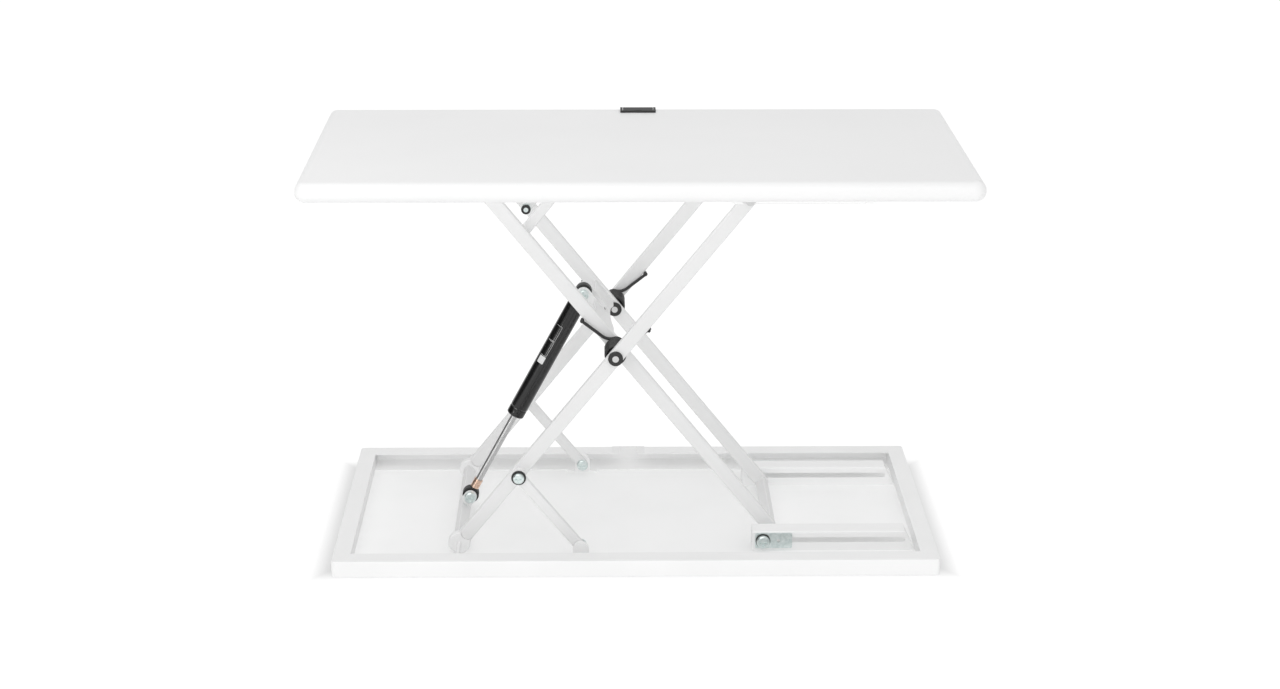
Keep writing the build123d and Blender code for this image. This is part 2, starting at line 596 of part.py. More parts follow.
# ---- gas spring, drawn along +X from its lower eye, then turned into place ----
def gas_place(piece):
    return Pos(GAS_LOW[0], 0, GAS_LOW[1]) * Rot(0, -degrees(GAS_ANGLE), 0) * piece


def along_x(radius, start, end):
    return Pos((start + end) / 2, 0, 0) * Rot(0, 90, 0) * Cylinder(radius, end - start)


def gas_eye(distance, neck_from, neck_to, hole):
    """A black moulded eye with a short neck."""
    eye = disc((distance, 0), GAS_EYE_RADIUS, -GAS_EYE_HALF, GAS_EYE_HALF)
    eye = fillet(eye.faces().filter_by(Axis.Y).edges(), 1.2)
    eye += along_x(GAS_EYE_HALF - 0.8, neck_from, neck_to)
    return eye - disc((distance, 0), hole, -GAS_EYE_HALF - 1, GAS_EYE_HALF + 1)


def gas_rod():
    """The chrome rod with its piston."""
    rod = along_x(GAS_ROD_RADIUS, GAS_ROD_START, GAS_ROD_LENGTH)
    return rod + along_x(GAS_TUBE_RADIUS - GAS_TUBE_WALL - RUNNING, GAS_ROD_LENGTH - 8, GAS_ROD_LENGTH)


def gas_rod_collar():
    """The plated fitting that screws onto the rod's lower end."""
    collar = along_x(5.6, GAS_ROD_START - 3, GAS_ROD_START + 9)
    return collar - along_x(GAS_ROD_RADIUS, GAS_ROD_START, GAS_ROD_START + 10)


def gas_tube():
    """The black pressure tube, closed at the top, with a rod bore at the bottom."""
    start, end = GAS_TUBE_START, GAS_TUBE_START + GAS_TUBE_LENGTH
    tube = along_x(GAS_TUBE_RADIUS, start, end)
    tube = fillet(tube.edges().filter_by(GeomType.CIRCLE), 1.8)
    tube -= along_x(GAS_TUBE_RADIUS - GAS_TUBE_WALL, start + 6, end - 6)
    return tube - along_x(GAS_ROD_RADIUS + RUNNING, start - 1, start + 7)


def gas_label():
    """A small blank label on the tube's rear flank."""
    radius, thick = GAS_TUBE_RADIUS, 0.15
    band = along_x(radius + thick, *GAS_LABEL_ALONG) - along_x(radius, 0, GAS_LENGTH)
    return band & block((0, GAS_LENGTH), (-radius - 1, 0), GAS_LABEL_ACROSS)


def gas_upper_bush():
    """The shank and sleeves in the upper eye, which stay with the gas spring."""
    y_end = GAS_EAR_Y[0] - GAP
    bush = disc((GAS_LENGTH, 0), PIN_RADIUS, -y_end, y_end)
    for side in SIDES:
        bush += disc((GAS_LENGTH, 0), 6.0, side * GAS_EYE_HALF, side * y_end)
    return bush


# ---- desktop ----
def desktop_board():
    """The board: full rounds on its rear and side edges, a crisp front edge, a pocket for the paddle."""
    plan = Rectangle(DESK_LENGTH, DESK_DEPTH)
    rear_corners = plan.vertices().filter_by(lambda corner: corner.Y < 0)
    plan = fillet(rear_corners, DESK_CORNER_ROUND)
    board = Pos(0, 0, DESK_UNDERSIDE) * extrude(plan, amount=DESK_THICKNESS)
    rims = board.faces().filter_by(Axis.Z).edges()
    board = fillet(rims.filter_by(lambda edge: edge.center().Y < DESK_DEPTH / 2 - 1), DESK_EDGE_ROUND)
    front_face = board.faces().sort_by(Axis.Y)[-1]
    board = fillet(front_face.edges(), DESK_FRONT_ROUND)
    length, depth = PADDLE_HOUSING
    half = length / 2
    pocket_x = (PADDLE_CENTRE_X - half, PADDLE_CENTRE_X + half)
    y_front = DESK_DEPTH / 2
    return board - block(pocket_x, (y_front - depth, y_front + 1), (DESK_UNDERSIDE - 1, DESK_TOP + 1))


def desk_guide(side):
    """A slotted angle under the desktop for an outer arm's top pin."""
    y_in = OUTER_ARM_Y[1] + 2.5
    x, z = OUTER_TOP
    x_span = (x - 22, x + 150)
    wall = block(x_span, (side * y_in, side * (y_in + 2)), (z - 4.3, DESK_UNDERSIDE))
    slot_middle = ((x + 64), z)
    slot = Pos(*slot_middle) * SlotOverall(148, SLOT_HEIGHT)
    wall -= prism(slot, side * (y_in - 1), side * (y_in + 3))
    return wall + block(x_span, (side * y_in, side * (y_in + 20)), (DESK_UNDERSIDE - 2, DESK_UNDERSIDE))


def glide_track(side):
    """A hard strip under the desktop that an inner arm's shoe runs on."""
    x = INNER_TOP[0]
    y_mid = side * sum(INNER_ARM_Y) / 2
    return block((x - 90, x + 20), (y_mid - 9, y_mid + 9), (TRACK_BOTTOM, DESK_UNDERSIDE))


def desk_bracket(side):
    """The lug under the desktop that holds an upper link."""
    x, z = DESK_PIVOT
    y_out = UPPER_LINK_Y[0] - GAP
    outline = Pos(x, z) * Circle(9) + Pos(x, (z + DESK_UNDERSIDE) / 2) * Rectangle(18, DESK_UNDERSIDE - z)
    lug = prism(outline, side * y_out, side * (y_out - 3))
    lug += block((x - 20, x + 20), (side * y_out, side * (y_out - 16)), (DESK_UNDERSIDE - 2, DESK_UNDERSIDE))
    return lug - disc(DESK_PIVOT, PIN_RADIUS, side * (y_out + 1), side * (y_out - 4))


def desk_bracket_bolt(side):
    y_head = UPPER_LINK_Y[1] + GAP
    y_nut = UPPER_LINK_Y[0] - GAP - 3
    bolt = disc(DESK_PIVOT, PIN_RADIUS, side * y_head, side * y_nut)
    bolt += disc(DESK_PIVOT, 6.5, side * y_head, side * (y_head + 4))
    return bolt + hex_nut(DESK_PIVOT, side * y_nut, side * (y_nut - NUT_THICK))


def desk_screws():
    """Pan-head screws that hold the brackets and slotted angles under the desktop."""
    places = []
    for side in SIDES:
        places += [(DESK_PIVOT[0] + x, side * (UPPER_LINK_Y[0] - 11)) for x in (-14, 14)]
        places += [(OUTER_TOP[0] + x, side * (OUTER_ARM_Y[1] + 14)) for x in (-14, 64, 142)]
    z = DESK_UNDERSIDE - 2
    heads = []
    for x, y in places:
        head = Pos(x, y, z - 1.1) * Cylinder(4, 2.2)
        heads.append(fillet(head.faces().sort_by(Axis.Z)[0].edges(), 1.2))
    return Compound(children=heads)


# ---- latch paddle in the desktop's front edge ----
def paddle_housing():
    """A three-sided bezel with raised ends."""
    length, depth = PADDLE_HOUSING
    half = length / 2
    y_front = DESK_DEPTH / 2
    x_span = (PADDLE_CENTRE_X - half, PADDLE_CENTRE_X + half)
    frame_body = block(x_span, (y_front - depth, y_front), (DESK_UNDERSIDE + 3, DESK_TOP + PADDLE_RISE))
    inner_x = (x_span[0] + PADDLE_WALL, x_span[1] - PADDLE_WALL)
    inner = block(inner_x, (y_front - depth + PADDLE_WALL, y_front + 1), (0, DESK_TOP + 9))
    dip = DESK_TOP + PADDLE_RISE - 0.5 + PADDLE_SADDLE
    frame_body -= inner + disc((PADDLE_CENTRE_X, dip), PADDLE_SADDLE, 0, y_front + 9)
    pin = (x_span[0] + PADDLE_WALL / 2, x_span[1] - PADDLE_WALL / 2)
    return frame_body - along_pivot(PIN_RADIUS / 2, pin)


def along_pivot(radius, x_span):
    """A rod along the paddle's hinge line."""
    y, z = PADDLE_PIVOT
    middle = (x_span[0] + x_span[1]) / 2
    return Pos(middle, y, z) * Rot(0, 90, 0) * Cylinder(radius, x_span[1] - x_span[0])


def latch_paddle():
    """A saddle-topped push paddle."""
    length, depth = PADDLE_HOUSING
    half = length / 2 - PADDLE_WALL - 0.5
    y_front = DESK_DEPTH / 2
    y_span = (y_front - depth + PADDLE_WALL + 0.6, y_front - 0.6)
    x_span = (PADDLE_CENTRE_X - half, PADDLE_CENTRE_X + half)
    body = block(x_span, y_span, (PADDLE_PIVOT[1] - 3, DESK_TOP + PADDLE_RISE))
    dip = DESK_TOP + PADDLE_RISE - 1.0 + PADDLE_SADDLE
    body -= disc((PADDLE_CENTRE_X, dip), PADDLE_SADDLE - 1.6, 0, y_front + 9)
    return body - along_pivot(PIN_RADIUS / 2 + RUNNING, x_span)


def latch_hook():
    """The hook under the paddle: a shank with a nose towards the front, bevelled below."""
    half = HOOK_WIDTH / 2
    x_span = (PADDLE_CENTRE_X - half, PADDLE_CENTRE_X + half)
    y, z = PADDLE_PIVOT
    y_span = (y - HOOK_HALF_THICK, y + HOOK_HALF_THICK)
    reach, height = HOOK_NOSE
    nose = block(x_span, (y_span[1], y_span[1] + reach), (HOOK_BOTTOM, HOOK_BOTTOM + height))
    tip = nose.edges().filter_by(Axis.X).sort_by(lambda edge: edge.center().Y - edge.center().Z)[-1]
    nose = chamfer(tip, height * 0.7)
    return block(x_span, y_span, (HOOK_BOTTOM, z - 3)) + nose


def latch_pin():
    half = PADDLE_HOUSING[0] / 2 - PADDLE_WALL / 2
    return along_pivot(PIN_RADIUS / 2, (PADDLE_CENTRE_X - half, PADDLE_CENTRE_X + half))


# ---- the nodes ----
base_rails()
nodes["base_panel"] = base_panel()
nodes["base_feet"] = base_feet()
nodes["slot_guides"] = pair(slot_guide)
nodes["link_brackets"] = pair(link_bracket)
nodes["link_pivot_bolts"] = pair(link_pivot_bolt)

nodes["lower_links"] = pair(lower_link)

sided("outer_arm", outer_arm)
nodes["foot_glides"] = pair(foot_glide)
nodes["outer_lower_cross_tube"] = cross_tube(FOOT, RISING, OUTER_ARM_Y[0])
nodes["outer_upper_cross_tube"] = cross_tube(OUTER_TOP, RISING, OUTER_ARM_Y[0])
nodes["gas_spring_lug"] = gas_lug()
nodes["gas_spring_lower_bolt"] = gas_lower_bolt()
nodes["link_joint_bolts"] = pair(link_joint_bolt)
nodes["link_joint_washers"] = pair(link_joint_washer)
nodes["link_joint_spacers"] = pair(link_joint_spacer)
nodes["top_guide_pins"] = pair(top_guide_pin)
nodes["crossing_pins"] = pair(crossing_pin)
nodes["crossing_caps"] = Compound(children=crossing_caps(REAR) + crossing_caps(FRONT))
nodes["crossing_sleeves"] = pair(crossing_sleeve)
sided("torsion_spring", outer_spring)

sided("inner_arm", inner_arm)
nodes["top_glides"] = pair(top_glide)
nodes["inner_lower_cross_tube"] = cross_tube(SLOT_PIN, FALLING, INNER_ARM_Y[0])
nodes["inner_upper_cross_tube"] = cross_tube(INNER_TOP, FALLING, INNER_ARM_Y[0])
nodes["gas_spring_mid_bracket"] = mid_bracket()
nodes["gas_spring_upper_bolt"] = gas_upper_bolt()
nodes["slot_pins"] = pair(slot_pin)
nodes["upper_link_studs"] = pair(upper_link_stud)
nodes["upper_link_nuts"] = pair(upper_link_nut)
nodes["upper_link_nut_collars"] = pair(upper_link_collar)
nodes["torsion_spring_end_turns"] = pair(inner_spring_turn)

nodes["slider_plates"] = pair(slider_plate)
nodes["slider_washers"] = pair(slider_washer)
nodes["slider_bolts"] = pair(slider_bolt)

nodes["upper_links"] = pair(upper_link)

nodes["gas_rod_eye"] = gas_place(gas_eye(0, 8, GAS_ROD_START - 3, PIN_RADIUS + RUNNING))
nodes["gas_rod_collar"] = gas_place(gas_rod_collar())
nodes["gas_rod"] = gas_place(gas_rod())
nodes["gas_tube"] = gas_place(gas_tube())
tube_end = GAS_TUBE_START + GAS_TUBE_LENGTH
nodes["gas_tube_eye"] = gas_place(gas_eye(GAS_LENGTH, tube_end, GAS_LENGTH - 8, PIN_RADIUS))
nodes["gas_upper_bush"] = gas_place(gas_upper_bush())
nodes["gas_label"] = gas_place(gas_label())

nodes["desktop"] = desktop_board()
nodes["desk_guides"] = pair(desk_guide)
nodes["glide_tracks"] = pair(glide_track)
nodes["desk_brackets"] = pair(desk_bracket)
nodes["desk_bracket_bolts"] = pair(desk_bracket_bolt)
nodes["desk_screws"] = desk_screws()
nodes["paddle_housing"] = paddle_housing()
nodes["latch_pin"] = latch_pin()
nodes["latch_paddle"] = latch_paddle()
nodes["latch_hook"] = latch_hook()

for name, piece in nodes.items():
    export_step(piece, f"parts/{name}.step")
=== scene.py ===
import json
import math

import bmesh
import bpy
from mathutils import Matrix, Vector


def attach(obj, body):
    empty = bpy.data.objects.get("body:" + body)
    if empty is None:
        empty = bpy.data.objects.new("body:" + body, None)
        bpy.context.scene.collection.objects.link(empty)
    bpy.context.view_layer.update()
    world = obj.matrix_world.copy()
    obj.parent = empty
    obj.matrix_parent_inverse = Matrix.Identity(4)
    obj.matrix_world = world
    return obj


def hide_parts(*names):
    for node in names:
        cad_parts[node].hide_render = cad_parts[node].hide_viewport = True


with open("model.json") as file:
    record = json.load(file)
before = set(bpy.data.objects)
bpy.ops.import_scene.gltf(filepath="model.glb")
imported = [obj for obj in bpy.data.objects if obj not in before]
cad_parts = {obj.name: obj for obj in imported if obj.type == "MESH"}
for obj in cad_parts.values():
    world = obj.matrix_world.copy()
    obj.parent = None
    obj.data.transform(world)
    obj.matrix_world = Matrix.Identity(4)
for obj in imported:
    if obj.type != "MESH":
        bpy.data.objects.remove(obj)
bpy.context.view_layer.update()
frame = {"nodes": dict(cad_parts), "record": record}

# ---- camera: stands behind the unit and a little above it ----
CAMERA_PLACE = (-0.0450, -2.8775, 1.1666)
CAMERA_PITCH = 17.98       # degrees below level
CAMERA_YAW = 0.94          # degrees towards +X
CAMERA_ROLL = 0.12
CAMERA_LENS = 67.52        # mm, on a 36 mm wide sensor


def make_camera():
    data = bpy.data.cameras.new("camera")
    data.lens = CAMERA_LENS
    data.sensor_width = 36.0
    data.sensor_fit = "HORIZONTAL"
    data.clip_end = 50.0
    camera = bpy.data.objects.new("camera", data)
    pitch, yaw, roll = (math.radians(a) for a in (CAMERA_PITCH, CAMERA_YAW, CAMERA_ROLL))
    ahead = Vector((math.sin(yaw) * math.cos(pitch), math.cos(yaw) * math.cos(pitch), -math.sin(pitch)))
    right = Vector((math.cos(yaw), -math.sin(yaw), 0.0))
    up = right.cross(ahead)
    right, up = (right * math.cos(roll) + up * math.sin(roll), up * math.cos(roll) - right * math.sin(roll))
    axes = Matrix((right, up, -ahead)).transposed().to_4x4()
    camera.matrix_world = Matrix.Translation(CAMERA_PLACE) @ axes
    bpy.context.scene.collection.objects.link(camera)
    bpy.context.scene.camera = camera


# ---- studio ----
SKY = 0.78
LIT_PLACE = (0, 0, 0.25)   # what every light is turned towards
# name, where it stands, strength, and its width in radians
SUNS = (("front", (-0.5, -2.3, 2.1), 0.46, 0.5),        # from the camera's side
        ("streak", (-1.9, -2.32, 0.27), 0.14, 0.12))    # level, for a long highlight on the gas spring
TOP_LIGHT = 10.5           # watts of the soft box above the camera's side
TOP_LIGHT_PLACE = (-0.9, -1.2, 2.0)
TOP_LIGHT_SIZE = 1.4
# (glow, albedo) of the floor paper: within the shadow painted beside the base, and where it stays white
# elsewhere
FLOOR_PAINTED_SHADE = (0.0, 0.74)
FLOOR_REST = (0.85, 0.20)
SHADE_MIDDLE = -0.005      # the base's middle along X
SHADE_X = (0.367, 0.405)   # distances from it where the painted shadow starts to fade, and where it ends
SHADE_Y = (0.165, 0.215)
# dark cards that give the metal something to reflect: direction, radius in degrees
CARDS = (((-0.95, 0.05, 0.15), 32), ((0.75, -0.62, 0.15), 9))
CARD_EDGE = 3              # degrees over which a card fades out
CARD_LEVEL = 0.03


def aimed(light, source):
    aim = (Vector(LIT_PLACE) - Vector(source)).to_track_quat("-Z", "Y")
    light.matrix_world = Matrix.Translation(source) @ aim.to_matrix().to_4x4()
    bpy.context.scene.collection.objects.link(light)


def sun(name, source, strength, softness):
    """A sun that shines from a place towards the object's middle, and casts no shadow."""
    data = bpy.data.lights.new(name, "SUN")
    data.energy = strength
    data.angle = softness
    data.use_shadow = False
    data.cycles.cast_shadow = False
    aimed(bpy.data.objects.new(name, data), source)


def soft_box(name, source, power, size):
    """A square light that fills without casting shadows of its own."""
    data = bpy.data.lights.new(name, "AREA")
    data.energy = power
    data.size = size
    data.use_shadow = False
    data.cycles.cast_shadow = False
    aimed(bpy.data.objects.new(name, data), source)


def make_floor():
    """White studio paper with a soft shadow painted next to the base."""
    mesh = bpy.data.meshes.new("floor")
    outline = bmesh.new()
    bmesh.ops.create_grid(outline, x_segments=4, y_segments=4, size=30)
    outline.to_mesh(mesh)
    outline.free()
    floor = bpy.data.objects.new("floor", mesh)
    bpy.context.scene.collection.objects.link(floor)
    g = Graph("floor_paper", roughness=0.9, Emission_Color=(1, 1, 1, 1))
    # painted shadow: in strips beside the base the paper loses its glow and takes a lower albedo
    outside_painted_shade = g.larger(g.distance("X", *SHADE_X, SHADE_MIDDLE), g.distance("Y", *SHADE_Y))
    g.colour(g.ramp(outside_painted_shade, [(0.0, tone(FLOOR_PAINTED_SHADE[1])), (1.0, tone(FLOOR_REST[1]))]))
    g.link(g.spread(outside_painted_shade, FLOOR_PAINTED_SHADE[0], FLOOR_REST[0]), g.shader.inputs["Emission Strength"])
    mesh.materials.append(g.material)


def join_values(tree, operation, first, second):
    node = tree.nodes.new("ShaderNodeMath")
    node.operation = operation
    tree.links.new(first, node.inputs[0])
    tree.links.new(second, node.inputs[1])
    return node.outputs["Value"]


def make_sky():
    """An even white sky with the dark cards in it."""
    world = bpy.data.worlds.new("studio")
    world.use_nodes = True
    tree = world.node_tree
    background = tree.nodes["Background"]
    background.inputs["Strength"].default_value = SKY
    direction = tree.nodes.new("ShaderNodeTexCoord").outputs["Generated"]
    light = None
    for place, radius in CARDS:
        facing = tree.nodes.new("ShaderNodeVectorMath")
        facing.operation = "DOT_PRODUCT"
        facing.inputs[1].default_value = Vector(place).normalized()
        tree.links.new(direction, facing.inputs[0])
        edge = tree.nodes.new("ShaderNodeMapRange")
        edge.inputs["From Min"].default_value = math.cos(math.radians(radius + CARD_EDGE))
        edge.inputs["From Max"].default_value = math.cos(math.radians(radius))
        edge.inputs["To Min"].default_value = 1.0
        edge.inputs["To Max"].default_value = CARD_LEVEL
        tree.links.new(facing.outputs["Value"], edge.inputs["Value"])
        level = edge.outputs["Result"]
        light = level if light is None else join_values(tree, "MULTIPLY", light, level)
    # the cards show in reflections only
    seen = tree.nodes.new("ShaderNodeLightPath").outputs["Is Camera Ray"]
    light = join_values(tree, "MAXIMUM", light, seen)
    tree.links.new(light, background.inputs["Color"])
    bpy.context.scene.world = world


def make_studio():
    bpy.context.scene.view_settings.view_transform = "Standard"
    make_sky()
    for name, source, strength, softness in SUNS:
        sun(name, source, strength, softness)
    soft_box("top", TOP_LIGHT_PLACE, TOP_LIGHT, TOP_LIGHT_SIZE)
    make_floor()


# ---- material building ----
class Graph:
    """A material's node tree with short calls for the nodes used here."""

    def __init__(self, name, roughness=0.5, metallic=0.0, **sockets):
        self.material = bpy.data.materials.new(name)
        self.material.use_nodes = True
        self.tree = self.material.node_tree
        self.shader = self.tree.nodes["Principled BSDF"]
        self.shader.inputs["Roughness"].default_value = roughness
        self.shader.inputs["Metallic"].default_value = metallic
        for socket, value in sockets.items():
            self.shader.inputs[socket.replace("_", " ")].default_value = value
        self.place = self.tree.nodes.new("ShaderNodeTexCoord").outputs["Object"]

    def link(self, source, target):
        self.tree.links.new(source, target)

    def noise(self, scale, detail=3.0, stretch=(1, 1, 1), roughness=0.5):
        mapping = self.tree.nodes.new("ShaderNodeMapping")
        mapping.inputs["Scale"].default_value = stretch
        self.link(self.place, mapping.inputs["Vector"])
        node = self.tree.nodes.new("ShaderNodeTexNoise")
        node.inputs["Scale"].default_value = scale
        node.inputs["Detail"].default_value = detail
        node.inputs["Roughness"].default_value = roughness
        self.link(mapping.outputs["Vector"], node.inputs["Vector"])
        return node.outputs["Fac"]

    def math(self, operation, first, second):
        """A Math node; either input may be a socket or a number."""
        node = self.tree.nodes.new("ShaderNodeMath")
        node.operation = operation
        for value, socket in zip((first, second), node.inputs):
            if isinstance(value, float):
                socket.default_value = value
            else:
                self.link(value, socket)
        return node.outputs["Value"]

    def larger(self, first, second):
        return self.math("MAXIMUM", first, second)

    def distance(self, axis, low, high, middle=0.0):
        """0 within a distance of a middle plane, smoothly up to 1 beyond another."""
        split = self.tree.nodes.new("ShaderNodeSeparateXYZ")
        self.link(self.place, split.inputs["Vector"])
        offset = self.math("SUBTRACT", split.outputs[axis], middle)
        size = self.math("ABSOLUTE", offset, 0.0)
        node = self.tree.nodes.new("ShaderNodeMapRange")
        node.interpolation_type = "SMOOTHSTEP"
        node.inputs["From Min"].default_value = low
        node.inputs["From Max"].default_value = high
        self.link(size, node.inputs["Value"])
        return node.outputs["Result"]

    def ramp(self, source, stops):
        node = self.tree.nodes.new("ShaderNodeValToRGB")
        ramp = node.color_ramp
        while len(ramp.elements) < len(stops):
            ramp.elements.new(0.5)
        for element, (position, colour) in zip(ramp.elements, stops):
            element.position = position
            element.color = (*colour, 1) if len(colour) == 3 else colour
        self.link(source, node.inputs["Fac"])
        return node.outputs["Color"]

    def spread(self, source, low, high):
        node = self.tree.nodes.new("ShaderNodeMapRange")
        node.inputs["To Min"].default_value = low
        node.inputs["To Max"].default_value = high
        self.link(source, node.inputs["Value"])
        return node.outputs["Result"]

    def bump(self, height, distance, strength=1.0):
        node = self.tree.nodes.new("ShaderNodeBump")
        node.inputs["Distance"].default_value = distance
        node.inputs["Strength"].default_value = strength
        self.link(height, node.inputs["Height"])
        self.link(node.outputs["Normal"], self.shader.inputs["Normal"])

    def colour(self, source):
        self.link(source, self.shader.inputs["Base Color"])

    def rough(self, source):
        self.link(source, self.shader.inputs["Roughness"])


def tone(level, tint=(1.0, 1.0, 1.0)):
    return tuple(level * t for t in tint)


def powder_coat(name, level, glow=0.0):
    """White powder coat: fine orange peel, a faint mottle, soft gloss."""
    # glow, where given, is painted light: the coat glows though it is no lamp
    g = Graph(name, roughness=0.42, Emission_Color=(1, 1, 1, 1), Emission_Strength=glow)
    grain = g.noise(1900, detail=2.0)
    cloud = g.noise(9, detail=4.0)
    g.colour(g.ramp(cloud, [(0.3, tone(level - 0.015, (1, 1.003, 1.0))), (0.7, tone(level + 0.015))]))
    g.rough(g.spread(grain, 0.36, 0.5))
    g.bump(grain, 0.00012, 0.5)
    return g.material


def board_laminate():
    """The desktop's white laminate: nearly smooth, with a fine pebbled texture."""
    g = Graph("white_laminate", roughness=0.4)
    pebble = g.noise(1300, detail=2.0)
    cloud = g.noise(5, detail=3.0)
    g.colour(g.ramp(cloud, [(0.25, tone(0.862)), (0.75, tone(0.885))]))
    g.rough(g.spread(pebble, 0.34, 0.46))
    g.bump(pebble, 0.00008, 0.5)
    return g.material


def zinc_plate():
    """Bright zinc with a cold tint and fine drawing marks."""
    g = Graph("bright_zinc", roughness=0.3, metallic=1.0)
    cloud = g.noise(260, detail=5.0)
    lines = g.noise(900, detail=3.0, stretch=(0.15, 1, 1))
    g.colour(g.ramp(cloud, [(0.3, (0.60, 0.68, 0.67)), (0.7, (0.80, 0.86, 0.85))]))
    g.rough(g.spread(cloud, 0.22, 0.42))
    g.bump(lines, 0.00005, 0.4)
    return g.material


def drawn_steel():
    g = Graph("drawn_steel", roughness=0.3, metallic=1.0)
    lines = g.noise(1400, detail=3.0, stretch=(1, 0.1, 1))
    g.colour(g.ramp(lines, [(0.3, tone(0.55)), (0.7, tone(0.68))]))
    g.rough(g.spread(lines, 0.22, 0.4))
    return g.material


def chrome_rod():
    g = Graph("chrome_rod", roughness=0.08, metallic=1.0)
    lines = g.noise(1600, detail=2.0)
    g.colour(g.ramp(lines, [(0.3, tone(0.50)), (0.7, tone(0.58))]))
    g.rough(g.spread(lines, 0.28, 0.36))
    return g.material


def black_nylon():
    g = Graph("black_nylon", roughness=0.5)
    grain = g.noise(1500, detail=3.0)
    g.colour(g.ramp(grain, [(0.3, tone(0.012)), (0.7, tone(0.024))]))
    g.rough(g.spread(grain, 0.42, 0.62))
    g.bump(grain, 0.00012, 0.5)
    return g.material


def white_nylon():
    g = Graph("white_nylon", roughness=0.45)
    grain = g.noise(900, detail=3.0)
    g.colour(g.ramp(grain, [(0.3, tone(0.78)), (0.7, tone(0.84))]))
    g.bump(grain, 0.0001, 0.4)
    return g.material


def gas_lacquer():
    """Satin black lacquer on a drawn tube, with a faint even grain."""
    g = Graph("satin_black_lacquer", roughness=0.24)
    grain = g.noise(700, detail=4.0)
    g.colour(g.ramp(grain, [(0.3, tone(0.006)), (0.7, tone(0.011))]))
    g.rough(g.spread(grain, 0.12, 0.18))
    return g.material


def spring_wire():
    g = Graph("black_spring_wire", roughness=0.4)
    grain = g.noise(800, detail=4.0)
    g.colour(g.ramp(grain, [(0.3, tone(0.010)), (0.7, tone(0.022))]))
    g.rough(g.spread(grain, 0.32, 0.5))
    g.bump(grain, 0.0001, 0.4)
    return g.material


def yellow_zinc():
    g = Graph("yellow_zinc", roughness=0.3, metallic=1.0)
    cloud = g.noise(350, detail=4.0)
    g.colour(g.ramp(cloud, [(0.3, (0.56, 0.36, 0.27)), (0.7, (0.80, 0.60, 0.48))]))
    g.rough(g.spread(cloud, 0.2, 0.4))
    return g.material


def pad_rubber():
    g = Graph("black_rubber", roughness=0.8)
    grain = g.noise(1100, detail=4.0)
    g.colour(g.ramp(grain, [(0.3, tone(0.02)), (0.7, tone(0.04))]))
    g.rough(g.spread(grain, 0.7, 0.9))
    g.bump(grain, 0.0002, 0.5)
    return g.material


def label_paper():
    g = Graph("blank_label", roughness=0.5)
    grain = g.noise(1200, detail=3.0)
    g.colour(g.ramp(grain, [(0.3, tone(0.62)), (0.7, tone(0.72))]))
    g.rough(g.spread(grain, 0.42, 0.56))
    return g.material


MATERIALS = {
    "white_paint": powder_coat("white_powder_coat", 0.85),
    # a darker copy of the white powder coat: painted shade on the arms under the desk
    "arm_paint": powder_coat("arm_powder_coat_painted_shade", 0.74),
    # a lighter copy of the white powder coat with a faint glow: painted light on the floor panel in the
    # desk's shade
    "panel_paint": powder_coat("panel_powder_coat_painted_light", 0.91, glow=0.02),
    "white_board": board_laminate(),
    "zinc": zinc_plate(),
    "steel_pin": drawn_steel(),
    "spring_black": spring_wire(),
    "black_plastic": black_nylon(),
    "white_nylon": white_nylon(),
    "gas_black": gas_lacquer(),
    "chrome": chrome_rod(),
    "copper_zinc": yellow_zinc(),
    "label": label_paper(),
    "rubber": pad_rubber(),
}


def dress_nodes():
    """Each CAD node takes its slot's material."""
    for subpart in frame["record"]["subparts"]:
        node = frame["nodes"][subpart["node"]]
        node.data.materials.clear()
        node.data.materials.append(MATERIALS[subpart["material_slot"]])


# ---- pieces ----
JOINTS = {joint["name"]: joint for joint in frame["record"]["behaviour"]["joints"]}
REAR, FRONT = -1, 1
SIDE_NAMES = {REAR: "rear", FRONT: "front"}


def joint_place(name):
    return Vector(JOINTS[name]["pos_m"])


def heading(start, end):
    return math.atan2(end.z - start.z, end.x - start.x)


SLOT_PIN = joint_place("slider_level")
CROSSING = joint_place("inner_frame_turn")
RISING = heading(joint_place("outer_frame_turn"), CROSSING)
FALLING = heading(SLOT_PIN, CROSSING)


def from_crossing(direction, along, across, y):
    """A point at a distance along a direction from the crossing, and across it."""
    x = CROSSING.x + along * math.cos(direction) - across * math.sin(direction)
    z = CROSSING.z + along * math.sin(direction) + across * math.cos(direction)
    return Vector((x, y, z))


def wires(name, paths, radius):
    """One object of round wires, each along a list of points."""
    data = bpy.data.curves.new(name, "CURVE")
    data.dimensions = "3D"
    data.bevel_depth = radius
    data.bevel_resolution = 5
    data.use_fill_caps = True
    for points in paths:
        spline = data.splines.new("POLY")
        spline.points.add(len(points) - 1)
        for target, point in zip(spline.points, points):
            target.co = (*point, 1.0)
        spline.use_smooth = True
    piece = bpy.data.objects.new(name, data)
    bpy.context.scene.collection.objects.link(piece)
    return piece


def lathed(name, origin, axis, profile, segments=48):
    """A closed turned shape: (along, radius) pairs about an axis through a place."""
    shape = bmesh.new()
    axis = Vector(axis).normalized()
    side = axis.orthogonal().normalized()
    up = axis.cross(side)
    rings = []
    for along, radius in profile:
        centre = Vector(origin) + axis * along
        if radius == 0:
            rings.append([shape.verts.new(centre)] * segments)
            continue
        ring = []
        for i in range(segments):
            turn = 2 * math.pi * i / segments
            ring.append(shape.verts.new(centre + (side * math.cos(turn) + up * math.sin(turn)) * radius))
        rings.append(ring)
    for lower, upper in zip(rings, rings[1:]):
        for i in range(segments):
            j = (i + 1) % segments
            corners = list(dict.fromkeys((lower[i], lower[j], upper[j], upper[i])))
            shape.faces.new(corners)
    bmesh.ops.recalc_face_normals(shape, faces=shape.faces)
    return mesh_piece(name, shape)


